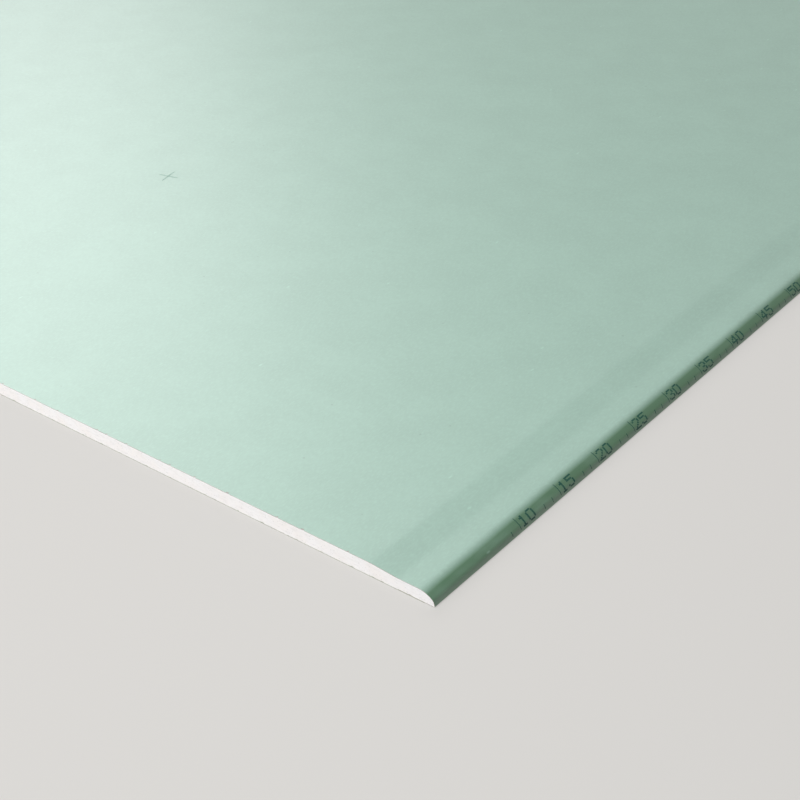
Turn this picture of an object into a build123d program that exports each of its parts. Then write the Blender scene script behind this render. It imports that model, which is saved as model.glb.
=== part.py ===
"""A gypsum plasterboard sheet with tapered, half-round long edges and square cut ends.

The sheet lies face up. X runs across its width, Y along its length and Z up, with the
origin in the middle of its back. All sizes are in millimetres and all angles in degrees.
"""

import os
from math import atan2, hypot, radians, tan

from build123d import *

# The whole sheet
sheet_width = 1250.0
sheet_length = 2000.0
sheet_thickness = 12.5

# The paper: the face paper folds round both long edges, and the back paper laps over its flaps
face_paper_thickness = 0.35
back_paper_thickness = 0.35
flap_width = 32.0
back_paper_setback = 9.0

# The recess along each long edge, measured in from the edge and down from the face
taper_width = 56.0
taper_depth = 1.85
taper_blend_radius = 60.0
shelf_reach = 32.0

# The rounded nose: a bevel between two blends, then a leaning land down to the back corner
nose_bevel_run = 7.45
nose_bevel_drop = 5.2
nose_shoulder_radius = 18.5
nose_front_radius = 4.8
land_lean = 14.0
back_corner_radius = 0.8

# The shoulder's blend may take up to this part of the bevel, and the front's blend the rest
shoulder_part = 0.8


def fillet_limit(wanted, corner, before, after, room):
    """The wanted radius, or the largest whose tangent run at this corner fits the room."""
    heading_in = atan2(corner[1] - before[1], corner[0] - before[0])
    heading_out = atan2(after[1] - corner[1], after[0] - corner[0])
    turn = abs(heading_out - heading_in)
    return min(wanted, room / tan(turn / 2))


# Heights and places that follow from the sizes above
half_width = sheet_width / 2
wrap_level = back_paper_thickness
shelf_level = sheet_thickness - taper_depth

# The blended back corner would stop short of the edge line, so its sharp corner stands past it
corner_overrun = back_corner_radius * (tan(radians(45 + land_lean / 2)) - 1)
bevel_foot_level = shelf_level - nose_bevel_drop
land_run = (bevel_foot_level - wrap_level) * tan(radians(land_lean))

# The sharp corners of the right-hand long edge, from the face round to the back
taper_start = (half_width - taper_width, sheet_thickness)
shelf_start = (half_width - shelf_reach, shelf_level)
bevel_top = (half_width - nose_bevel_run, shelf_level)
back_corner = (half_width + corner_overrun, wrap_level)
bevel_foot = (back_corner[0] - land_run, bevel_foot_level)

bevel_length = hypot(bevel_foot[0] - bevel_top[0], bevel_foot[1] - bevel_top[1])
shoulder_radius = fillet_limit(
    nose_shoulder_radius, bevel_top, shelf_start, bevel_foot, bevel_length * shoulder_part
)
front_radius = fillet_limit(
    nose_front_radius, bevel_foot, bevel_top, back_corner, bevel_length * (1 - shoulder_part)
)

right_edge = (taper_start, shelf_start, bevel_top, bevel_foot, back_corner)
right_radii = (
    taper_blend_radius,
    taper_blend_radius,
    shoulder_radius,
    front_radius,
    back_corner_radius,
)
left_edge = tuple((-across, height) for across, height in reversed(right_edge))
left_radii = tuple(reversed(right_radii))

# The outside of the face paper, closed across the back between its two flaps
with BuildSketch(Plane.XZ) as wrapped_section:
    with BuildLine():
        FilletPolyline(*right_edge, *left_edge, radius=right_radii + left_radii, close=True)
    make_face()

# The core fills the inside of the paper, and between the flaps it reaches the back paper
with BuildPart() as gypsum_core:
    with BuildSketch(Plane.XZ) as core_section:
        add(wrapped_section.sketch)
        offset(amount=-face_paper_thickness, kind=Kind.INTERSECTION, mode=Mode.REPLACE)
        with Locations((0, wrap_level)):
            Rectangle(
                sheet_width - 2 * flap_width,
                face_paper_thickness,
                align=(Align.CENTER, Align.MIN),
            )
    extrude(amount=sheet_length / 2, both=True)
gypsum_core.part.label = "gypsum_core"

with BuildPart() as face_paper:
    with BuildSketch(Plane.XZ):
        add(wrapped_section.sketch)
        add(core_section.sketch, mode=Mode.SUBTRACT)
    extrude(amount=sheet_length / 2, both=True)
face_paper.part.label = "face_paper"

with BuildPart() as back_paper:
    with BuildSketch(Plane.XZ):
        Rectangle(
            sheet_width - 2 * back_paper_setback,
            back_paper_thickness,
            align=(Align.CENTER, Align.MIN),
        )
    extrude(amount=sheet_length / 2, both=True)
back_paper.part.label = "back_paper"

os.makedirs("parts", exist_ok=True)
for piece in (gypsum_core, face_paper, back_paper):
    export_step(piece.part, f"parts/{piece.part.label}.step")
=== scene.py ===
"""A moisture-resistant drywall sheet lying face up on a pale studio floor.

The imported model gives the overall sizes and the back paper. This script dresses it with rippled
face paper, a sawn gypsum core, a printed length scale and a centre mark, and sets the stage.
Lengths are in metres. X runs across the sheet, Y along it and Z up.
"""

import math
import random
from collections import namedtuple

import bpy
from bpy.props import FloatProperty, FloatVectorProperty, IntProperty, PointerProperty
from mathutils import Euler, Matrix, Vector, noise


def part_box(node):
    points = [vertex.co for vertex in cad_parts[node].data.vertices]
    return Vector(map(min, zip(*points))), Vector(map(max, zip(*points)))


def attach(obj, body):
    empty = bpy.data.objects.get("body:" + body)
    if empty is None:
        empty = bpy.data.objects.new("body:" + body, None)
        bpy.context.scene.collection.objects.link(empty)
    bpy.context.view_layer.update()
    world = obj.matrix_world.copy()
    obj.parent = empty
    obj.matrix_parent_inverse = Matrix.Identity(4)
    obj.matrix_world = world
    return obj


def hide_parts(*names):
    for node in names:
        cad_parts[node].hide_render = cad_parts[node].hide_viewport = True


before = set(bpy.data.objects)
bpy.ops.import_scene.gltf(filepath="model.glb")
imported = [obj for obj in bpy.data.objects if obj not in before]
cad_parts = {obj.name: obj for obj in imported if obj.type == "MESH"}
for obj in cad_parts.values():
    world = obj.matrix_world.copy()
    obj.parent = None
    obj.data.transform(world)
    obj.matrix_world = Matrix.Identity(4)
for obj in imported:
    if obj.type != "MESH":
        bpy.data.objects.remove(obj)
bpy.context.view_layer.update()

bl_info = {
    "name": "Drywall Sheet",
    "version": (1, 0, 0),
    "blender": (4, 5, 0),
    "location": "View3D > Sidebar > Drywall",
    "description": "Dresses a packed drywall sheet with paper, gypsum and print, and sets its stage",
    "category": "Object",
}

MM = 0.001
BODY = "root"

paper_low, paper_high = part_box("face_paper")
core_low, core_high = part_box("gypsum_core")
PAPER_THICKNESS = paper_high.z - core_high.z
SHEET_LENGTH = paper_high.y - paper_low.y


def srgb(red, green, blue):
    """A colour picked on a 0 to 255 scale, as the linear values that shaders take."""
    def linear(value):
        value /= 255
        return value / 12.92 if value <= 0.04045 else ((value + 0.055) / 1.055) ** 2.4
    return (linear(red), linear(green), linear(blue))


# What a user may change


class SectionSettings(bpy.types.PropertyGroup):
    """The recess and the rounded nose along both long edges."""

    taper_width: FloatProperty(
        name="Taper Width", description="From the long edge in to where the recess starts",
        unit="LENGTH", default=56 * MM)
    taper_depth: FloatProperty(
        name="Taper Depth", description="Depth of the recess below the face",
        unit="LENGTH", default=1.85 * MM)
    taper_radius: FloatProperty(
        name="Taper Radius", description="Rounding at both ends of the recess's slope",
        unit="LENGTH", default=60 * MM)
    shelf_reach: FloatProperty(
        name="Shelf Reach", description="From the long edge in to the end of the level shelf",
        unit="LENGTH", default=32 * MM)
    bevel_run: FloatProperty(
        name="Bevel Run", description="Width of the bevel that the nose is rounded from",
        unit="LENGTH", default=7.45 * MM)
    bevel_drop: FloatProperty(
        name="Bevel Drop", description="Height of the bevel that the nose is rounded from",
        unit="LENGTH", default=5.2 * MM)
    shoulder_radius: FloatProperty(
        name="Shoulder Radius", description="Rounding from the shelf into the bevel",
        unit="LENGTH", default=18.5 * MM)
    front_radius: FloatProperty(
        name="Front Radius", description="Rounding from the bevel into the land below it",
        unit="LENGTH", default=4.8 * MM)
    land_lean: FloatProperty(
        name="Land Lean", description="How far the land leans back from upright",
        subtype="ANGLE", default=math.radians(14))
    back_radius: FloatProperty(
        name="Back Radius", description="Rounding where the paper folds under the back",
        unit="LENGTH", default=0.8 * MM)
    flap_width: FloatProperty(
        name="Flap Width", description="From the long edge in to the end of the folded flap",
        unit="LENGTH", default=32 * MM)


class FacePaperSettings(bpy.types.PropertyGroup):
    """The green paper over the face and round both long edges."""

    colour: FloatVectorProperty(
        name="Colour", description="Dyed top ply of the face paper",
        subtype="COLOR", size=3, min=0, max=1, default=srgb(155, 187, 173))
    # Painted shade: a darker green that stands in for the shade on both rounded long edges
    edge_colour: FloatVectorProperty(
        name="Painted Edge Shade", description="Painted shade where the paper turns down round a long edge",
        subtype="COLOR", size=3, min=0, max=1, default=srgb(62, 109, 72))
    # Partly the real grey of the cut inner plies and partly painted shade: kept darker so the cut
    # edge reads as a shaded line
    cut_colour: FloatVectorProperty(
        name="Cut Colour", description="Grey inner plies that show where the paper is cut",
        subtype="COLOR", size=3, min=0, max=1, default=srgb(176, 172, 166))
    roughness: FloatProperty(
        name="Roughness", description="Broad sheen of the pressed top ply",
        subtype="FACTOR", default=0.47, min=0, max=1)
    crease_depth: FloatProperty(
        name="Crease Ripple", description="Depth of the ripples where the recess starts",
        unit="LENGTH", default=0.26 * MM, min=0)
    face_wave: FloatProperty(
        name="Face Wave", description="Depth of the slow waves over the sheet",
        unit="LENGTH", default=0.10 * MM, min=0)
    nose_streak: FloatProperty(
        name="Nose Streak", description="Depth of the long streaks along the rounded edge",
        unit="LENGTH", default=0.05 * MM, min=0)
    nick_depth: FloatProperty(
        name="Nick Depth", description="How far the deepest nicks run in from a cut end",
        unit="LENGTH", default=0.6 * MM, min=0)
    nick_pitch: FloatProperty(
        name="Nick Pitch", description="Average distance between nicks along a cut end",
        unit="LENGTH", default=25 * MM, min=MM)


class GypsumSettings(bpy.types.PropertyGroup):
    """The white core, seen on the cut ends."""

    colour: FloatVectorProperty(
        name="Colour", description="Dry gypsum",
        subtype="COLOR", size=3, min=0, max=1, default=srgb(239, 238, 243))
    saw_depth: FloatProperty(
        name="Saw Depth", description="Depth of the unevenness that the saw leaves",
        unit="LENGTH", default=0.12 * MM, min=0)
    chip_depth: FloatProperty(
        name="Chip Depth", description="Depth of the deepest chips along the lower arris",
        unit="LENGTH", default=0.7 * MM, min=0)
    chip_pitch: FloatProperty(
        name="Chip Pitch", description="Average distance between chips",
        unit="LENGTH", default=18 * MM, min=MM)


class BackPaperSettings(bpy.types.PropertyGroup):
    """The recycled liner on the back."""

    colour: FloatVectorProperty(
        name="Colour", description="Grey-green recycled liner",
        subtype="COLOR", size=3, min=0, max=1, default=srgb(160, 167, 150))
    fleck_colour: FloatVectorProperty(
        name="Fleck Colour", description="Dark scraps in the recycled pulp",
        subtype="COLOR", size=3, min=0, max=1, default=srgb(86, 90, 84))


class MarkingSettings(bpy.types.PropertyGroup):
    """The length scale on the right-hand rounded edge and the faint cross on the centre line."""

    ink: FloatVectorProperty(
        name="Ink", description="Dark teal edge ink",
        subtype="COLOR", size=3, min=0, max=1, default=srgb(22, 76, 70))
    faint_ink: FloatVectorProperty(
        name="Faint Ink", description="Thin ink of the centre mark",
        subtype="COLOR", size=3, min=0, max=1, default=srgb(126, 160, 148))
    first_tick: FloatProperty(
        name="First Tick", description="From the near cut end to the first tick",
        unit="LENGTH", default=90 * MM)
    tick_pitch: FloatProperty(
        name="Tick Pitch", description="Distance between ticks",
        unit="LENGTH", default=10 * MM, min=MM)
    ticks_per_numeral: IntProperty(
        name="Ticks per Numeral", description="Ticks from one numeral to the next",
        default=5, min=1)
    line_pitch: FloatProperty(
        name="Line Pitch", description="Distance between the fine lines that make up the print",
        unit="LENGTH", default=0.66 * MM, min=0.1 * MM)
    lines_per_dot: IntProperty(
        name="Lines per Dot", description="Fine lines in one row of dots", default=2, min=1)
    height_round_edge: FloatProperty(
        name="Height", description="Middle of the print, measured round the edge from the back fold",
        unit="LENGTH", default=6.4 * MM)
    mark_from_end: FloatProperty(
        name="Mark Distance", description="From the near cut end to the centre mark",
        unit="LENGTH", default=355 * MM)
    mark_size: FloatProperty(
        name="Mark Size", description="Width of the centre mark",
        unit="LENGTH", default=26 * MM)


class StageSettings(bpy.types.PropertyGroup):
    """Floor, lamps, sky and camera."""

    floor: FloatVectorProperty(
        name="Floor", description="Floor colour as it is seen",
        subtype="COLOR", size=3, min=0, max=1, default=srgb(202, 200, 196))
    floor_bounce: FloatVectorProperty(
        name="Floor Bounce", description="Floor colour as it lights the sheet",
        subtype="COLOR", size=3, min=0, max=1, default=srgb(204, 200, 184))
    horizon: FloatVectorProperty(
        name="Horizon", description="Colour seen beyond the floor",
        subtype="COLOR", size=3, min=0, max=1, default=srgb(224, 222, 219))
    sky: FloatProperty(
        name="Sky", description="Strength of the even light from all round", default=0.03, min=0)
    window_power: FloatProperty(
        name="Window Lamp", description="Large soft lamp beyond the left-hand long edge",
        unit="POWER", default=112, min=0)
    over_power: FloatProperty(
        name="Over Lamp", description="Soft lamp above the sheet",
        unit="POWER", default=13, min=0)
    near_power: FloatProperty(
        name="Near Lamp", description="Soft lamp in front of the near cut end",
        unit="POWER", default=89, min=0)
    far_power: FloatProperty(
        name="Far Lamp", description="Narrow soft lamp that fills in the far half, without gloss",
        unit="POWER", default=3.8, min=0)
    camera_place: FloatVectorProperty(
        name="Camera", description="Where the camera stands",
        subtype="TRANSLATION", unit="LENGTH", size=3, default=(1.16627, -1.64283, 0.72212))
    camera_turn: FloatVectorProperty(
        name="Camera Turn", description="Camera rotation",
        subtype="EULER", size=3,
        default=(math.radians(56.6195), math.radians(2.8439), math.radians(39.2622)))
    camera_lens: FloatProperty(
        name="Lens", description="Focal length in millimetres on a 36 mm sensor",
        default=73.287, min=1)


class SheetSettings(bpy.types.PropertyGroup):
    """All settings of the sheet."""

    section: PointerProperty(type=SectionSettings)
    face_paper: PointerProperty(type=FacePaperSettings)
    gypsum: PointerProperty(type=GypsumSettings)
    back_paper: PointerProperty(type=BackPaperSettings)
    marking: PointerProperty(type=MarkingSettings)
    stage: PointerProperty(type=StageSettings)


# The section's outline


class Stretch(namedtuple("Stretch", "start heading length turn")):
    """A straight run or an arc of the outline."""

    def at(self, distance):
        """Point and heading at a distance along the stretch."""
        if not self.turn:
            direction = Vector((math.cos(self.heading), math.sin(self.heading)))
            return self.start + direction * distance, self.heading
        radius = self.length / self.turn
        heading = self.heading + self.turn * distance / self.length
        centre = self.start + radius * Vector((-math.sin(self.heading), math.cos(self.heading)))
        return centre - radius * Vector((-math.sin(heading), math.cos(heading))), heading


def round_corners(corners):
    """Stretches through a list of (corner, radius), each corner rounded by its radius."""
    points = [Vector(corner) for corner, _ in corners]
    runs = [after - before for before, after in zip(points, points[1:])]
    headings = [math.atan2(run.y, run.x) for run in runs]
    stretches, start = [], points[0]
    for i, (run, heading) in enumerate(zip(runs, headings)):
        radius = corners[i + 1][1]
        turn = math.remainder(headings[i + 1] - heading, 2 * math.pi) if radius else 0.0
        straight_end = points[i + 1] - run.normalized() * (radius * math.tan(abs(turn) / 2))
        length = (straight_end - start).dot(run.normalized())
        if length < 0:
            raise RuntimeError("the roundings of the long edge overlap: make one of them smaller")
        stretches.append(Stretch(start, heading, length, 0.0))
        start = straight_end
        if turn:
            stretches.append(Stretch(start, heading, radius * abs(turn), turn))
            start = stretches[-1].at(stretches[-1].length)[0]
    return stretches


def sheet_outline(section):
    """Outside of the face paper, from the right-hand flap over the face to the left-hand flap."""
    half, face, back = paper_high.x, paper_high.z, paper_low.z
    shelf = face - section.taper_depth
    bevel_foot = shelf - section.bevel_drop
    back_corner = half + section.back_radius * (math.tan(math.pi / 4 + section.land_lean / 2) - 1)
    right = [
        ((half - section.flap_width, back), 0),
        ((back_corner, back), section.back_radius),
        ((back_corner - (bevel_foot - back) * math.tan(section.land_lean), bevel_foot),
         section.front_radius),
        ((half - section.bevel_run, shelf), section.shoulder_radius),
        ((half - section.shelf_reach, shelf), section.taper_radius),
        ((half - section.taper_width, face), section.taper_radius),
    ]
    left = [((-x, z), radius) for (x, z), radius in reversed(right)]
    return round_corners(right + left)


def outline_at(outline, distance):
    """Point and heading at a distance along the whole outline."""
    for stretch in outline:
        if distance <= stretch.length:
            return stretch.at(distance)
        distance -= stretch.length
    raise RuntimeError("a place on the outline lies past its end")


def outward(heading):
    """Unit vector out of the sheet, for an outline that is followed anticlockwise."""
    return Vector((math.sin(heading), -math.cos(heading)))


# Relief of the paper


# Distance between the patches of noise that two neighbouring seeds read
SEED_SPACING = 31.7

# Gaps between neighbouring nicks or chips, in pitches, and the shallowest one's share of the depth
MARK_GAPS = (0.35, 1.75)
SHALLOWEST_MARK = 0.2

# One layer of noise: its turns a metre in each direction, its share of the whole and its seed
Layer = namedtuple("Layer", "turns share seed")


def wave(x, y, z, seed):
    """Smooth noise from 0 to 1, with a pattern of its own for each seed."""
    return 0.5 + 0.5 * noise.noise(Vector((x, y, z + SEED_SPACING * seed)))


def layered(layers, point, more_seed=0):
    """Layers of noise at a point, added up by their shares."""
    total = 0.0
    for layer in layers:
        x, y, z = (place * turns for place, turns in zip(point, layer.turns))
        total += layer.share * wave(x, y, z, layer.seed + more_seed)
    return total


def clamp(value):
    """A value held between 0 and 1."""
    return max(0.0, min(1.0, value))


def scattered(span, pitch, seed, deepest, half_widths):
    """Random (place, depth, half width) marks across the sheet, about a pitch apart."""
    dice = random.Random(seed)
    marks = []
    place = -span + pitch * dice.random()
    while place < span:
        depth = dice.uniform(SHALLOWEST_MARK * deepest, deepest)
        marks.append((place, depth, dice.uniform(*half_widths)))
        place += pitch * dice.uniform(*MARK_GAPS)
    return marks


def mark_depth(marks, x):
    """Depth of the marks at a place, each a notch that narrows as it deepens."""
    return max((depth * (1 - abs(x - place) / half) for place, depth, half in marks
                if abs(x - place) < half), default=0.0)


def rows_along(rim_rows, step):
    """Places of rows along the sheet: close ones beside both cut ends and even ones between."""
    spans = round(SHEET_LENGTH / step)
    return [*rim_rows, *(SHEET_LENGTH * i / spans for i in range(1, spans)),
            *(SHEET_LENGTH - row for row in reversed(rim_rows))]


class PaperSurface:
    """The outside of the face paper as a grid of columns round the outline and rows along it."""

    # A plain cell of the face: its width, and its columns at the cut ends and in the creases
    CELL = 12 * MM
    FINE_COLUMNS = 10
    CREASE_COLUMNS = 5

    # Elsewhere, the widest step and greatest turn between columns, and the widest step under the
    # back, where a stretch lies this near to the floor
    COLUMN_STEP = 2 * MM
    COLUMN_TURN = math.radians(10)
    FLAP_STEP = 10 * MM
    BACK_MARGIN = 0.01 * MM

    # Rows: their distance apart, those beside a cut end, and the steps in an outer and inner cell
    ROW_STEP = 4 * MM
    RIM_ROWS = (0.0, 0.5 * MM, 1.2 * MM)
    ROWS_PER_CELL = 3
    ROWS_PER_INNER_CELL = 24

    # Relief: the layers of each pattern, across, along and up the sheet
    FACE_LAYERS = (Layer(turns=(5, 4, 1), share=0.75, seed=0),
                   Layer(turns=(22, 16, 1), share=0.25, seed=3))
    CREASE_LAYERS = (Layer(turns=(40, 48, 0), share=0.7, seed=10),
                     Layer(turns=(110, 120, 0), share=0.3, seed=20))
    STREAK_LAYERS = (Layer(turns=(210, 5, 210), share=0.7, seed=30),
                     Layer(turns=(500, 40, 500), share=0.3, seed=40))

    # How far the ripples reach from a crease, how far past the face the streaks are at their
    # deepest, and the height above this level over which all relief grows from nothing
    CREASE_REACH = 13 * MM
    STREAK_REACH = 20 * MM
    FADE_LEVEL = 1 * MM
    FADE_HEIGHT = 3 * MM

    # Cut ends: the nicks of each, the fraying between them and how far in it reaches
    NICK_SEEDS = (5, 12)
    NICK_HALF_WIDTHS = (0.7 * MM, 1.6 * MM)
    FRAY_DEPTH = 0.12 * MM
    FRAY_TURNS = 700
    FRAY_SEED = 60
    FRAY_REACH = 3.5 * MM

    # Paper sinks by this share of how far it is drawn in. Within this reach of a cut end, the top
    # ply is torn off where a nick is deeper than this share of the deepest
    SINK_SHARE = 0.12
    TORN_REACH = 1.0 * MM
    TORN_SHARE = 0.25

    def __init__(self, sheet):
        self.settings = sheet.face_paper
        self.outline = sheet_outline(sheet.section)
        self.columns = []
        self.face = None
        face = max(self.outline, key=lambda stretch: stretch.length)
        self.face_edge = face.start.x
        self.crease = paper_high.x - sheet.section.taper_width
        for stretch in self.outline:
            pieces = self.pieces(stretch, face)
            if stretch is face:
                self.face = (len(self.columns), len(self.columns) + pieces)
            self.columns += [stretch.at(stretch.length * i / pieces) for i in range(pieces)]
        self.columns.append(stretch.at(stretch.length))
        self.rows = rows_along(self.RIM_ROWS, self.ROW_STEP)
        self.nicks = [
            scattered(self.face_edge, self.settings.nick_pitch, seed,
                      self.settings.nick_depth, self.NICK_HALF_WIDTHS)
            for seed in self.NICK_SEEDS]

    def pieces(self, stretch, face):
        """How many columns a stretch is cut into."""
        if stretch is face:
            return self.FINE_COLUMNS * round(stretch.length / self.CELL)
        middle = stretch.at(stretch.length / 2)[0]
        on_back = not stretch.turn and middle.y < paper_low.z + self.BACK_MARGIN
        step = self.FLAP_STEP if on_back else self.COLUMN_STEP
        by_turn = math.ceil(abs(stretch.turn) / self.COLUMN_TURN)
        return max(1, math.ceil(stretch.length / step), by_turn)

    def relief(self, place, y):
        """How far the paper lies inside the outline: slow waves, crease ripples, nose streaks."""
        x, z = place
        side = 1 if x > 0 else 2
        dip = self.settings.face_wave * layered(self.FACE_LAYERS, (x, y, z))
        past_crease = abs(x) - self.crease
        near_crease = 0.5 + 0.5 * math.cos(math.pi * clamp(abs(past_crease) / self.CREASE_REACH))
        if near_crease:
            ripple = layered(self.CREASE_LAYERS, (past_crease, y, 0), side) - 0.5
            dip += self.settings.crease_depth * near_crease * ripple
        past_face = abs(x) - self.face_edge
        if past_face > 0:
            streak = layered(self.STREAK_LAYERS, (x, y, z))
            dip += self.settings.nose_streak * clamp(past_face / self.STREAK_REACH) * streak
        return max(0.0, dip) * clamp((z - self.FADE_LEVEL) / self.FADE_HEIGHT)

    def drawn_in(self, x, from_end, far):
        """How far the saw drew the paper in along the sheet, near a cut end."""
        fade = clamp(1 - from_end / self.FRAY_REACH)
        if not fade:
            return 0.0
        fray = self.FRAY_DEPTH * wave(x * self.FRAY_TURNS, 0, 0, self.FRAY_SEED + far)
        return fade * max(fray, mark_depth(self.nicks[far], x))

    def row_place(self, row):
        """Distance of a row along the sheet, distance from the nearer cut end, and which end."""
        along = self.rows[row]
        far = along > SHEET_LENGTH / 2
        return along, SHEET_LENGTH - along if far else along, far

    def torn(self, column, row):
        """Whether the top ply is torn off at a place beside a nick."""
        _, from_end, far = self.row_place(row)
        nick = mark_depth(self.nicks[far], self.columns[column][0].x)
        return from_end < self.TORN_REACH and nick > self.TORN_SHARE * self.settings.nick_depth

    def point(self, column, row, inside=0.0):
        """A grid place in space, on the outside of the paper or a distance inside it."""
        place, heading = self.columns[column]
        along, from_end, far = self.row_place(row)
        drawn = self.drawn_in(place.x, from_end, far)
        y = paper_low.y + along + (-drawn if far else drawn)
        sunk = inside + self.relief(place, y) + self.SINK_SHARE * drawn
        x, z = place - outward(heading) * sunk
        return Vector((x, y, z))


class Lattice:
    """Cells of mixed sizes on one grid. A cell takes every grid point in use on its border."""

    def __init__(self):
        self.cells = []
        self.used = set()

    def fill(self, columns, rows):
        """Adds a cell between each two listed columns and rows that are neighbours."""
        for left, right in zip(columns, columns[1:]):
            for low, high in zip(rows, rows[1:]):
                self.cells.append((left, right, low, high))
                self.used.update(((left, low), (right, low), (right, high), (left, high)))

    def border(self, cell):
        """Grid points in use round a cell."""
        left, right, low, high = cell
        ring = [(column, low) for column in range(left, right)]
        ring += [(right, row) for row in range(low, high)]
        ring += [(column, high) for column in range(right, left, -1)]
        ring += [(left, row) for row in range(high, low, -1)]
        return self.in_use(ring)

    def in_use(self, points):
        """Those of the grid points that are in use, in the order given."""
        return [point for point in points if point in self.used]


def face_paper_mesh(surface):
    """Corners, faces and material numbers of the face paper as one closed skin."""
    last_column, last_row = len(surface.columns) - 1, len(surface.rows) - 1
    first_face, last_face = surface.face
    rim = len(surface.RIM_ROWS) - 1
    per_cell = surface.FINE_COLUMNS
    right_edge = list(range(0, first_face + 1))
    left_edge = list(range(last_face, last_column + 1))
    crease_step = per_cell // surface.CREASE_COLUMNS
    right_crease = list(range(first_face, first_face + per_cell + 1, crease_step))
    left_crease = list(range(last_face - per_cell, last_face + 1, crease_step))
    plain_face = list(range(first_face + per_cell, last_face - per_cell + 1, per_cell))
    all_columns = list(range(last_column + 1))
    all_rows = list(range(rim, last_row - rim + 1))
    cell_rows = list(range(rim, last_row - rim, surface.ROWS_PER_CELL)) + [last_row - rim]

    outer = Lattice()
    outer.fill(all_columns, list(range(rim + 1)))
    outer.fill(all_columns, list(range(last_row - rim, last_row + 1)))
    for columns in (right_edge, right_crease, left_crease, left_edge):
        outer.fill(columns, all_rows)
    outer.fill(plain_face, cell_rows)

    inner = Lattice()
    inner_step = surface.ROWS_PER_INNER_CELL
    inner_rows = list(range(0, last_row - inner_step, inner_step)) + [last_row]
    inner_columns = right_edge + list(range(first_face + per_cell, last_face, per_cell)) + left_edge
    inner.fill(inner_columns, inner_rows)
    inner.used.update((column, row) for column in all_columns for row in (0, last_row))

    corners, numbers = [], {}

    def number(side, point):
        """Number of the corner at a grid point, on side 0, outer, or side 1, inner."""
        if (side, point) not in numbers:
            numbers[side, point] = len(corners)
            corners.append(surface.point(*point, inside=PAPER_THICKNESS if side else 0.0))
        return numbers[side, point]

    faces, materials = [], []
    for cell in outer.cells:
        faces.append([number(0, point) for point in reversed(outer.border(cell))])
        left, _, low, high = cell
        rim_cell = high <= rim or low >= last_row - rim
        materials.append(int(rim_cell and surface.torn(left, low if high <= rim else high)))
    for cell in inner.cells:
        faces.append([number(1, point) for point in inner.border(cell)])
        materials.append(1)

    def wall(edge, flip):
        """Closes the skin between its two sides, along one edge of the grid."""
        inner_line = inner.in_use(edge)
        for start, end in zip(inner_line, inner_line[1:]):
            outer_line = outer.in_use(edge[edge.index(start):edge.index(end) + 1])
            ring = [number(0, point) for point in outer_line] + [number(1, end), number(1, start)]
            faces.append(ring[::-1] if flip else ring)
            materials.append(1)

    wall([(column, 0) for column in all_columns], False)
    wall([(column, last_row) for column in all_columns], True)
    wall([(0, row) for row in range(last_row + 1)], True)
    wall([(last_column, row) for row in range(last_row + 1)], False)
    return corners, faces, materials


def block(counts, place):
    """Corners and outward faces of a closed block of cells, whose corners place(i, j, k) puts.

    The steps i, j and k run right-handed, and only corners on the outside are made.
    """
    numbers, corners, faces = {}, [], []

    def number(key):
        """Number of the corner at (i, j, k), made on its first use."""
        if key not in numbers:
            numbers[key] = len(corners)
            corners.append(place(*key))
        return numbers[key]

    for axis in range(3):
        first, second = (axis + 1) % 3, (axis + 2) % 3
        for a in range(counts[first]):
            for b in range(counts[second]):
                for level, order in ((0, -1), (counts[axis], 1)):
                    ring = []
                    for more_a, more_b in ((0, 0), (1, 0), (1, 1), (0, 1)):
                        key = [level] * 3
                        key[first], key[second] = a + more_a, b + more_b
                        ring.append(number(tuple(key)))
                    faces.append(ring[::order])
    return corners, faces


# The core's grid: levels in its height, rows beside a cut end, and the step between the others
CORE_LEVELS = 9
CORE_RIM_ROWS = (0.0, 1.0 * MM, 4 * MM)
CORE_ROW_STEP = 100 * MM

# The core's cut ends: the saw's unevenness, across and up them, and chips at the lower arris
SAW_LAYERS = (Layer(turns=(160, 420, 0), share=0.6, seed=70),
              Layer(turns=(520, 700, 0), share=0.4, seed=80))
CHIP_SEEDS = (21, 34)
CHIP_HALF_WIDTHS = (1.2 * MM, 3.5 * MM)
CHIP_HEIGHT = 2.6 * MM


def gypsum_mesh(surface, sheet):
    """Corners and faces of the core: it fills the paper and stands on the back paper."""
    settings = sheet.gypsum
    columns = surface.columns
    land_foot = surface.outline[2].start
    first = min(range(len(columns)), key=lambda i: (columns[i][0] - land_foot).length)
    stations = list(range(first, len(columns) - first))
    rows = rows_along(CORE_RIM_ROWS, CORE_ROW_STEP)
    flap_end = paper_high.x - sheet.section.flap_width
    flap_level = paper_low.z + PAPER_THICKNESS
    arc_radius = sheet.section.back_radius - PAPER_THICKNESS
    arc_start = surface.outline[1].start.x
    chips = [scattered(paper_high.x, settings.chip_pitch, seed,
                       settings.chip_depth, CHIP_HALF_WIDTHS)
             for seed in CHIP_SEEDS]

    def bottom(x):
        """Height of the core's underside: on the back paper, on a flap, or round the back fold."""
        if abs(x) <= flap_end:
            return core_low.z
        if abs(x) <= arc_start:
            return flap_level
        fall = math.sqrt(max(0.0, arc_radius ** 2 - (abs(x) - arc_start) ** 2))
        return flap_level + arc_radius - fall

    def place(i, j, k):
        """Corner at a station across the sheet, a level up it and a row along it."""
        spot, heading = columns[stations[i]]
        along = rows[k]
        far = along > SHEET_LENGTH / 2
        y = paper_low.y + along
        top = spot - outward(heading) * (PAPER_THICKNESS + surface.relief(spot, y))
        low = bottom(top.x)
        z = low + (top.y - low) * j / CORE_LEVELS
        if k in (0, len(rows) - 1):
            rough = settings.saw_depth * layered(SAW_LAYERS, (top.x, z, 0), far)
            chip = mark_depth(chips[far], top.x) * clamp(1 - (z - low) / CHIP_HEIGHT)
            drawn = max(rough, chip)
            y += -drawn if far else drawn
        return Vector((top.x, y, z))

    return block((len(stations) - 1, CORE_LEVELS, len(rows) - 1), place)


# Materials


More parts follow.
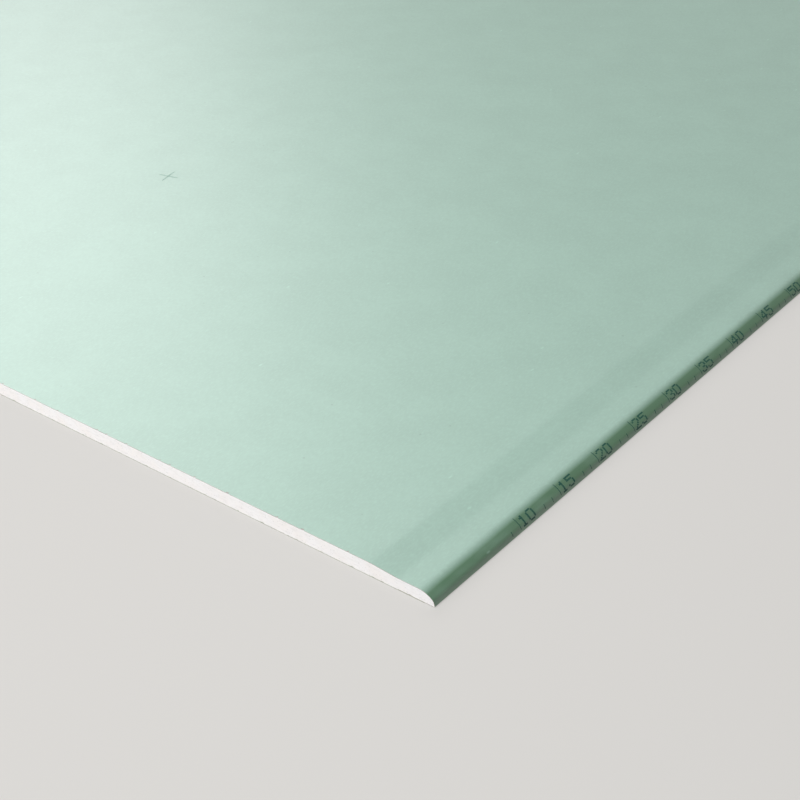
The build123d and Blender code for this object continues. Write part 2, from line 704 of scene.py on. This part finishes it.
def put(tree, value, socket):
    """Links a socket to another, or sets it to a plain value."""
    if isinstance(value, bpy.types.NodeSocket):
        tree.links.new(value, socket)
    else:
        socket.default_value = value


def add_node(tree, kind, **inputs):
    """A new node with its sockets linked or set. An underscore stands for a space in a name."""
    made = tree.nodes.new(kind)
    for name, value in inputs.items():
        put(tree, value, made.inputs[name.replace("_", " ")])
    return made


def computed(tree, operation, first, second):
    """What a Math node makes of two values."""
    made = tree.nodes.new("ShaderNodeMath")
    made.operation = operation
    put(tree, first, made.inputs[0])
    put(tree, second, made.inputs[1])
    return made.outputs[0]


def mixed(tree, factor, first, second):
    """Two shaders mixed: the first where the factor is 0 and the second where it is 1."""
    made = tree.nodes.new("ShaderNodeMixShader")
    for value, socket in zip((factor, first, second), made.inputs):
        put(tree, value, socket)
    return made.outputs[0]


def seen_or_lighting(tree, seen, lighting):
    """Mixes two shaders: one that is seen, straight or in a sheen, and one that gives light."""
    rays = tree.nodes.new("ShaderNodeLightPath").outputs
    sees = computed(tree, "MAXIMUM", rays["Is Camera Ray"], rays["Is Glossy Ray"])
    sees = computed(tree, "MAXIMUM", sees, rays["Is Transmission Ray"])
    return mixed(tree, sees, lighting, seen)


def shaded(colour, factor):
    """A colour made lighter or darker."""
    return tuple(min(1.0, channel * factor) for channel in colour)


class Finish:
    """A material in the making: a plain shader with patterns laid over its colour."""

    # The solid share of a fleck's size, and the softness of the limit that picks its cells
    FLECK_CORE = 0.5
    PICK_BLUR = 0.02

    def __init__(self, name, colour, roughness, specular):
        self.material = bpy.data.materials.new(name)
        self.material.use_nodes = True
        self.tree = self.material.node_tree
        self.shader = self.tree.nodes["Principled BSDF"]
        self.shader.inputs["Roughness"].default_value = roughness
        self.shader.inputs["Specular IOR Level"].default_value = specular
        self.place = self.tree.nodes.new("ShaderNodeTexCoord").outputs["Object"]
        self.ground = colour
        self.colour = (*colour, 1)
        self.normal = None

    def product(self, first, second):
        """One value times another."""
        return computed(self.tree, "MULTIPLY", first, second)

    def noise(self, scale, detail=3.0, stretch=(1, 1, 1)):
        """Cloudy noise. The scale is in turns a metre, and a stretch under 1 draws an axis out."""
        drawn = add_node(self.tree, "ShaderNodeMapping", Vector=self.place, Scale=stretch)
        cloud = add_node(self.tree, "ShaderNodeTexNoise", Vector=drawn.outputs["Vector"],
                         Scale=scale, Detail=detail)
        return cloud.outputs["Fac"]

    def height(self):
        """Height above the floor."""
        return add_node(self.tree, "ShaderNodeSeparateXYZ", Vector=self.place).outputs["Z"]

    def band(self, value, start, end):
        """A value mapped so that it goes from 0 at the start to 1 at the end."""
        made = add_node(self.tree, "ShaderNodeMapRange", Value=value, From_Min=start, From_Max=end)
        return made.outputs["Result"]

    def flecks(self, scale, size, share, seed, stretch=(1, 1, 1)):
        """Scattered spots: 1 inside a fleck and 0 elsewhere. A share of the cells hold one."""
        moved = add_node(self.tree, "ShaderNodeMapping", Vector=self.place, Scale=stretch,
                         Location=(seed, 2 * seed, 0))
        cells = add_node(self.tree, "ShaderNodeTexVoronoi", Vector=moved.outputs["Vector"],
                         Scale=scale)
        pick = add_node(self.tree, "ShaderNodeSeparateColor", Color=cells.outputs["Color"])
        return self.product(
            self.band(cells.outputs["Distance"], start=size, end=size * self.FLECK_CORE),
            self.band(pick.outputs["Red"], start=1 - share, end=1 - share + self.PICK_BLUR))

    def tint(self, factor, colour, strength):
        """Draws the colour towards another where the factor is high."""
        mix = self.tree.nodes.new("ShaderNodeMix")
        mix.data_type = "RGBA"
        sockets = {socket.identifier: socket for socket in (*mix.inputs, *mix.outputs)}
        put(self.tree, self.product(factor, strength), sockets["Factor_Float"])
        put(self.tree, self.colour, sockets["A_Color"])
        put(self.tree, (*colour, 1), sockets["B_Color"])
        self.colour = sockets["Result_Color"]
        put(self.tree, self.colour, self.shader.inputs["Base Color"])

    def shade(self, factor, tone, strength):
        """Draws the colour towards a lighter or darker tone of the ground colour."""
        self.tint(factor, shaded(self.ground, tone), strength)

    def bump(self, height, distance, strength):
        """Raises the surface by a height, over any earlier bump."""
        made = add_node(self.tree, "ShaderNodeBump", Height=height, Distance=distance,
                        Strength=strength)
        if self.normal:
            put(self.tree, self.normal, made.inputs["Normal"])
        self.normal = made.outputs["Normal"]
        put(self.tree, self.normal, self.shader.inputs["Normal"])


def face_paper_finish(settings):
    """Dyed board paper: cloudy dye, fine fibre, flecks, a broad sheen and painted shade on the nose.
    """
    paper = Finish("green_face_paper", tuple(settings.colour), settings.roughness, specular=0.9)
    fibre = paper.noise(scale=650, stretch=(1, 0.4, 1))
    large_clouds = paper.band(paper.noise(scale=24), start=0.35, end=0.68)
    small_clouds = paper.band(paper.noise(scale=150), start=0.42, end=0.66)
    paper.shade(large_clouds, tone=0.88, strength=0.5)
    paper.shade(small_clouds, tone=0.92, strength=0.45)
    paper.shade(paper.band(fibre, start=0.46, end=0.70), tone=1.15, strength=0.40)

    # Painted shade on the rounded edge: below the shelf and above the back fold, the colour is drawn
    # in streaks towards a darker green that stands in for shade
    height = paper.height()
    under_shelf = paper.band(height, start=10.55 * MM, end=8.8 * MM)
    over_fold = paper.band(height, start=0.4 * MM, end=6.0 * MM)
    streaks = paper.band(paper.noise(scale=60, stretch=(1, 0.3, 1)), start=-0.4, end=0.5)
    nose = paper.product(paper.product(under_shelf, over_fold), streaks)
    paper.tint(nose, tuple(settings.edge_colour), strength=0.9)

    dark_flecks = paper.flecks(scale=60, size=0.07, share=0.35, seed=3)
    pale_fibres = paper.flecks(scale=85, size=0.09, share=0.25, seed=8, stretch=(1, 0.35, 1))
    paper.shade(dark_flecks, tone=0.62, strength=0.45)
    paper.shade(pale_fibres, tone=1.4, strength=0.40)
    paper.bump(fibre, distance=0.05 * MM, strength=0.35)
    paper.bump(paper.noise(scale=2600, detail=2), distance=0.02 * MM, strength=0.35)
    return paper.material


def cut_paper_finish(settings):
    """The cut or torn edge of the paper, with its plies as fine grey lines, their grey partly
    painted shade.
    """
    paper = Finish("cut_paper_plies", tuple(settings.cut_colour), roughness=0.9, specular=0.2)
    plies = paper.noise(scale=1100, stretch=(0.35, 1, 3))
    paper.shade(paper.band(plies, start=0.42, end=0.62), tone=0.72, strength=0.7)
    paper.bump(plies, distance=0.06 * MM, strength=0.5)
    return paper.material


# What a warm patch of gypsum keeps of each channel
WARM_SHARES = (0.99, 0.95, 0.91)


def gypsum_finish(settings):
    """Sawn gypsum: chalk white with dark flecks of painted shade in its air pores, saw streaks and
    faint warm patches.
    """
    colour = tuple(settings.colour)
    gypsum = Finish("sawn_gypsum", colour, roughness=0.93, specular=0.2)
    warm_colour = tuple(channel * share for channel, share in zip(colour, WARM_SHARES))
    patches = gypsum.band(gypsum.noise(scale=60), start=0.4, end=0.7)
    streaks = gypsum.band(gypsum.noise(scale=520, stretch=(0.3, 1, 1)), start=0.48, end=0.72)
    pore_shade_flecks = gypsum.flecks(scale=650, size=0.28, share=0.4, seed=5)
    gypsum.tint(patches, warm_colour, strength=0.55)
    gypsum.shade(streaks, tone=0.86, strength=0.5)
    # Painted shade: dark flecks stand in for the shade inside tiny air pores of the core
    gypsum.shade(pore_shade_flecks, tone=0.6, strength=0.55)
    gypsum.bump(gypsum.noise(scale=1500, detail=4), distance=0.12 * MM, strength=0.45)
    return gypsum.material


def back_paper_finish(settings):
    """Recycled liner: uneven grey-green pulp with scraps and fibres in it."""
    liner = Finish("recycled_liner", tuple(settings.colour), roughness=0.8, specular=0.3)
    fibre = liner.noise(scale=520, stretch=(1, 0.3, 1))
    clouds = liner.band(liner.noise(scale=38, detail=4), start=0.35, end=0.7)
    scraps = liner.flecks(scale=140, size=0.13, share=0.5, seed=2)
    pale_fibres = liner.flecks(scale=90, size=0.1, share=0.35, seed=6, stretch=(1, 0.3, 1))
    liner.shade(clouds, tone=0.84, strength=0.6)
    liner.shade(liner.band(fibre, start=0.42, end=0.7), tone=1.15, strength=0.5)
    liner.tint(scraps, tuple(settings.fleck_colour), strength=0.6)
    liner.shade(pale_fibres, tone=1.4, strength=0.5)
    liner.bump(fibre, distance=0.06 * MM, strength=0.5)
    return liner.material


def ink_finish(name, colour):
    """Sprayed ink that sank unevenly into the paper."""
    ink = Finish(name, colour, roughness=0.6, specular=0.3)
    thin_places = ink.band(ink.noise(scale=900, detail=4), start=0.45, end=0.7)
    ink.shade(thin_places, tone=1.7, strength=0.45)
    return ink.material


# Making pieces


# Faces that meet at a greater angle keep a sharp arris
SHARP_ANGLE = math.radians(38)


def new_object(name, corners, faces, materials, material_numbers=None):
    """A smooth-shaded object from plain lists, with its real arrises kept sharp."""
    mesh = bpy.data.meshes.new(name)
    mesh.from_pydata(corners, [], faces)
    for material in materials:
        mesh.materials.append(material)
    if material_numbers:
        mesh.polygons.foreach_set("material_index", material_numbers)
    mesh.shade_smooth()
    mesh.set_sharp_from_angle(angle=SHARP_ANGLE)
    made = bpy.data.objects.new(name, mesh)
    bpy.context.scene.collection.objects.link(made)
    return made


def add_piece(made, slot, *replaced):
    """Fixes a piece to the sheet's one body and hides the nodes it stands for. The slot argument is
    not used.
    """
    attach(made, BODY)
    if replaced:
        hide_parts(*replaced)


class Strokes:
    """Thin raised strokes of ink, gathered into one mesh."""

    # Foot and top of a stroke above the paper's surface
    RISE = (-0.05 * MM, 0.03 * MM)

    def __init__(self):
        self.corners = []
        self.faces = []

    def add(self, parts, place):
        """Adds a stroke cut into a number of parts; place(i, j, rise) puts its corners."""
        corners, faces = block((parts, 1, 1), lambda i, j, k: place(i, j, self.RISE[k]))
        base = len(self.corners)
        self.corners += corners
        self.faces += [[base + corner for corner in face] for face in faces]


# The numerals' rows of dots, from the top down
NUMERALS = {
    "0": ".###. #...# #...# #...# #...# #...# .###.",
    "1": "..#.. .##.. ..#.. ..#.. ..#.. ..#.. .###.",
    "2": ".###. #...# ....# ...#. ..#.. .#... #####",
    "3": ".###. #...# ....# ..##. ....# #...# .###.",
    "4": "...#. ..##. .#.#. #..#. ##### ...#. ...#.",
    "5": "##### #.... ####. ....# ....# #...# .###.",
    "6": ".###. #.... #.... ####. #...# #...# .###.",
    "7": "##### ....# ...#. ..#.. ..#.. .#... .#...",
    "8": ".###. #...# #...# .###. #...# #...# .###.",
    "9": ".###. #...# #...# .#### ....# ....# .###.",
}
NUMERAL_ROWS = 7
NUMERAL_COLUMNS = 5


def dot_runs(row):
    """Start and length of each run of dots in a numeral's row."""
    runs, start = [], None
    for i, dot in enumerate(row + "."):
        if dot == "#" and start is None:
            start = i
        elif dot != "#" and start is not None:
            runs.append((start, i - start))
            start = None
    return runs


# The print's fine lines: their height in pitches, how far they stray and their longest part
LINE_HEIGHTS = (0.72, 0.88)
LINE_STRAY = 0.1 * MM
LINE_STEP = 3 * MM

# A dot's length in rows, then in dots: a run's overlap, a tick's width and a numeral's indent
DOT_LENGTH = 1.15
DOT_OVERLAP = 0.1
TICK_WIDTH = 0.45
NUMERAL_INDENT = 1.5

# Rows of dots in a short tick and past a numeral in its own tick, and ticks that a numeral hides
SHORT_TICK_ROWS = 3
EXTRA_TICK_ROWS = 1
HIDDEN_TICKS = 2
SCALE_SEED = 8


def edge_scale_strokes(surface, settings):
    """Ticks and numerals, each built of fine lines that run along the rounded edge."""
    fold = sum(stretch.length for stretch in surface.outline[:2])
    middle = fold + settings.height_round_edge
    pitch = settings.line_pitch
    row_lines = settings.lines_per_dot
    lines = NUMERAL_ROWS * row_lines
    dot = pitch * row_lines * DOT_LENGTH
    strokes = Strokes()
    dice = random.Random(SCALE_SEED)

    def dash(y, length, line):
        """One fine line, from a place along the edge, on a print line counted from the top."""
        y += dice.uniform(-LINE_STRAY, LINE_STRAY)
        height = pitch * dice.uniform(*LINE_HEIGHTS)
        centre = middle + ((lines - 1) / 2 - line) * pitch
        parts = max(1, math.ceil(length / LINE_STEP))

        def place(i, j, rise):
            along = y + length * i / parts
            spot, heading = outline_at(surface.outline, centre + (j - 0.5) * height)
            x, z = spot + outward(heading) * (rise - surface.relief(spot, along))
            return Vector((x, along, z))

        strokes.add(parts, place)

    def numeral(y, rows):
        """One numeral, from its left side along the edge."""
        for row, dots in enumerate(rows):
            for first, count in dot_runs(dots):
                for line in range(row * row_lines, (row + 1) * row_lines):
                    dash(y + first * dot, (count + DOT_OVERLAP) * dot, line)

    for tick in range(int((SHEET_LENGTH - settings.first_tick) / settings.tick_pitch)):
        from_end = settings.first_tick + tick * settings.tick_pitch
        y = paper_low.y + from_end
        number = round(from_end / settings.tick_pitch)
        past_numbered = number % settings.ticks_per_numeral
        if past_numbered == 0 or past_numbered > HIDDEN_TICKS:
            rows = SHORT_TICK_ROWS if past_numbered else NUMERAL_ROWS + EXTRA_TICK_ROWS
            for line in range(lines - rows * row_lines, lines):
                dash(y, dot * TICK_WIDTH, line)
        if past_numbered == 0:
            y += dot * NUMERAL_INDENT
            for digit in str(number):
                numeral(y, NUMERALS[digit].split())
                y += (NUMERAL_COLUMNS + 1) * dot
    return strokes


# The cross: its arms' directions, and their lines' width, spacing, parts and shortest share
ARM_TURNS = (math.radians(12), math.radians(102))
ARM_LINE_WIDTH = 0.32 * MM
ARM_LINE_SPACING = 0.6 * MM
ARM_PARTS = 6
SHORTEST_ARM = 0.75
MARK_SEED = 3


def centre_mark_strokes(surface, settings):
    """A small cross on the sheet's centre line, each arm of three fine lines."""
    strokes = Strokes()
    dice = random.Random(MARK_SEED)
    centre_y = paper_low.y + settings.mark_from_end
    face = paper_high.z
    for turn in ARM_TURNS:
        direction = Vector((math.cos(turn), math.sin(turn)))
        side = Vector((-direction.y, direction.x))
        for line in (-1, 0, 1):
            half = settings.mark_size / 2 * dice.uniform(SHORTEST_ARM, 1.0)

            def place(i, j, rise):
                aside = line * ARM_LINE_SPACING + (j - 0.5) * ARM_LINE_WIDTH
                spot = direction * half * (2 * i / ARM_PARTS - 1) + side * aside
                y = centre_y + spot.y
                return Vector((spot.x, y, face + rise - surface.relief((spot.x, face), y)))

            strokes.add(ARM_PARTS, place)
    return strokes


# Operators


class DRYWALL_OT_face_paper(bpy.types.Operator):
    """Make the face paper, with its ripples, folded flaps and nicked cut ends"""

    bl_idname = "drywall.face_paper"
    bl_label = "Face Paper"

    def execute(self, context):
        sheet = context.scene.drywall
        corners, faces, numbers = face_paper_mesh(PaperSurface(sheet))
        finishes = (face_paper_finish(sheet.face_paper), cut_paper_finish(sheet.face_paper))
        made = new_object("face_paper_skin", corners, faces, finishes, numbers)
        add_piece(made, "green_paper", "face_paper")
        return {"FINISHED"}


class DRYWALL_OT_gypsum(bpy.types.Operator):
    """Make the gypsum core with its sawn ends"""

    bl_idname = "drywall.gypsum"
    bl_label = "Gypsum Core"

    def execute(self, context):
        sheet = context.scene.drywall
        corners, faces = gypsum_mesh(PaperSurface(sheet), sheet)
        made = new_object("gypsum_slab", corners, faces, (gypsum_finish(sheet.gypsum),))
        add_piece(made, "gypsum", "gypsum_core")
        return {"FINISHED"}


class DRYWALL_OT_back_paper(bpy.types.Operator):
    """Give the back paper its recycled-liner finish"""

    bl_idname = "drywall.back_paper"
    bl_label = "Back Paper"

    def execute(self, context):
        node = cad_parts["back_paper"]
        node.data.materials.clear()
        node.data.materials.append(back_paper_finish(context.scene.drywall.back_paper))
        return {"FINISHED"}


class DRYWALL_OT_markings(bpy.types.Operator):
    """Print the length scale on the right-hand edge and the cross on the centre line"""

    bl_idname = "drywall.markings"
    bl_label = "Scale and Centre Mark"

    def execute(self, context):
        sheet = context.scene.drywall
        surface = PaperSurface(sheet)
        for name, make, colour in (("edge_scale", edge_scale_strokes, sheet.marking.ink),
                                   ("centre_mark", centre_mark_strokes, sheet.marking.faint_ink)):
            strokes = make(surface, sheet.marking)
            finish = ink_finish(name + "_ink", tuple(colour))
            add_piece(new_object(name, strokes.corners, strokes.faces, (finish,)), "green_paper")
        return {"FINISHED"}


class DRYWALL_OT_stage(bpy.types.Operator):
    """Set the floor, the sky, the lamps and the camera"""

    bl_idname = "drywall.stage"
    bl_label = "Stage"

    # Half the floor's side, and how far from the middle it starts and ends to fade
    FLOOR_REACH = 30.0
    FADE_START = 1.0
    FADE_END = 3.2

    # The horizon's share in what the floor looks like near the sheet
    NEAR_SHARE = 0.65

    # How widely the far lamp spreads, and the sensor's width in millimetres
    FAR_LAMP_SPREAD = math.radians(56)
    SENSOR_WIDTH = 36

    def floor(self, settings):
        """A wide floor that looks pale, takes the sheet's shadow and fades into the horizon."""
        reach = self.FLOOR_REACH
        corners = [(-reach, -reach, 0), (reach, -reach, 0), (reach, reach, 0), (-reach, reach, 0)]
        material = bpy.data.materials.new("studio_floor")
        material.use_nodes = True
        tree = material.node_tree
        tree.nodes.clear()
        near = add_node(tree, "ShaderNodeBsdfDiffuse", Color=(*settings.floor, 1))
        bounce = add_node(tree, "ShaderNodeBsdfDiffuse", Color=(*settings.floor_bounce, 1))
        far = add_node(tree, "ShaderNodeEmission", Color=(*settings.horizon, 1))
        place = tree.nodes.new("ShaderNodeTexCoord").outputs["Object"]
        distance = tree.nodes.new("ShaderNodeVectorMath")
        distance.operation = "LENGTH"
        put(tree, place, distance.inputs[0])
        fade = add_node(tree, "ShaderNodeMapRange", Value=distance.outputs["Value"],
                        From_Min=self.FADE_START, From_Max=self.FADE_END, To_Min=self.NEAR_SHARE)
        fade.interpolation_type = "SMOOTHSTEP"
        seen = mixed(tree, fade.outputs["Result"], near.outputs[0], far.outputs[0])
        surface = seen_or_lighting(tree, seen, bounce.outputs[0])
        add_node(tree, "ShaderNodeOutputMaterial", Surface=surface)
        new_object("floor", corners, [(0, 1, 2, 3)], (material,))

    def sky(self, scene, settings):
        """An even sky that looks pale beyond the floor."""
        scene.world = bpy.data.worlds.new("studio_sky")
        scene.world.use_nodes = True
        tree = scene.world.node_tree
        tree.nodes.clear()
        seen = add_node(tree, "ShaderNodeBackground", Color=(*settings.horizon, 1))
        lighting = add_node(tree, "ShaderNodeBackground", Color=(1, 1, 1, 1), Strength=settings.sky)
        surface = seen_or_lighting(tree, seen.outputs[0], lighting.outputs[0])
        add_node(tree, "ShaderNodeOutputWorld", Surface=surface)

    def lamp(self, name, power, place, aim, size):
        """A soft rectangular lamp that faces a point."""
        light = bpy.data.lights.new(name, "AREA")
        light.shape = "RECTANGLE"
        light.size, light.size_y = size
        light.energy = power
        made = bpy.data.objects.new(name, light)
        made.location = place
        made.rotation_euler = (Vector(aim) - Vector(place)).to_track_quat("-Z", "Y").to_euler()
        bpy.context.scene.collection.objects.link(made)
        return made

    def lamps(self, settings):
        """Three lamps that light the sheet as a room does, and one that fills in its far half."""
        self.lamp("window_lamp", settings.window_power,
                  place=(-3.7, 1.25, 2.6), aim=(0, -0.7, 0), size=(2.6, 2.2))
        self.lamp("over_lamp", settings.over_power,
                  place=(0.2, -1.2, 1.5), aim=(0.4, -0.8, 0), size=(0.8, 0.8))
        self.lamp("near_lamp", settings.near_power,
                  place=(0.0, -4.0, 1.5), aim=(0.2, -0.9, 0), size=(2.4, 1.4))
        fill = self.lamp("far_lamp", settings.far_power,
                         place=(0.0, 2.7, 1.5), aim=(0, 0.9, 0), size=(2.0, 0.8))
        fill.data.spread = self.FAR_LAMP_SPREAD
        fill.visible_glossy = False

    def camera(self, scene, settings):
        """The camera of the main view."""
        made = bpy.data.objects.new("camera", bpy.data.cameras.new("camera"))
        made.data.sensor_width = self.SENSOR_WIDTH
        made.data.lens = settings.camera_lens
        made.location = settings.camera_place
        made.rotation_euler = Euler(settings.camera_turn, "XYZ")
        scene.collection.objects.link(made)
        scene.camera = made

    def execute(self, context):
        settings = context.scene.drywall.stage
        self.floor(settings)
        self.sky(context.scene, settings)
        self.lamps(settings)
        self.camera(context.scene, settings)
        context.scene.view_settings.view_transform = "Standard"
        return {"FINISHED"}


OPERATORS = (
    DRYWALL_OT_stage,
    DRYWALL_OT_face_paper,
    DRYWALL_OT_gypsum,
    DRYWALL_OT_back_paper,
    DRYWALL_OT_markings,
)


class DRYWALL_PT_sheet(bpy.types.Panel):
    """Buttons and settings for each part of the sheet and its stage"""

    bl_idname = "DRYWALL_PT_sheet"
    bl_label = "Drywall Sheet"
    bl_space_type = "VIEW_3D"
    bl_region_type = "UI"
    bl_category = "Drywall"

    def draw(self, context):
        for operator in OPERATORS:
            self.layout.operator(operator.bl_idname)
        for name in ("section", "face_paper", "gypsum", "back_paper", "marking", "stage"):
            group = getattr(context.scene.drywall, name)
            box = self.layout.box()
            box.label(text=name.replace("_", " ").capitalize())
            for field in group.__annotations__:
                box.prop(group, field)


CLASSES = (
    SectionSettings,
    FacePaperSettings,
    GypsumSettings,
    BackPaperSettings,
    MarkingSettings,
    StageSettings,
    SheetSettings,
    *OPERATORS,
    DRYWALL_PT_sheet,
)


def register():
    """Adds the settings, the operators and the panel."""
    for cls in CLASSES:
        bpy.utils.register_class(cls)
    bpy.types.Scene.drywall = PointerProperty(type=SheetSettings)


def unregister():
    """Takes the settings, the operators and the panel away."""
    del bpy.types.Scene.drywall
    for cls in reversed(CLASSES):
        bpy.utils.unregister_class(cls)


def main():
    """Makes every piece and the stage."""
    register()
    bpy.ops.drywall.stage()
    bpy.ops.drywall.face_paper()
    bpy.ops.drywall.gypsum()
    bpy.ops.drywall.back_paper()
    bpy.ops.drywall.markings()


if __name__ == "__main__":
    main()
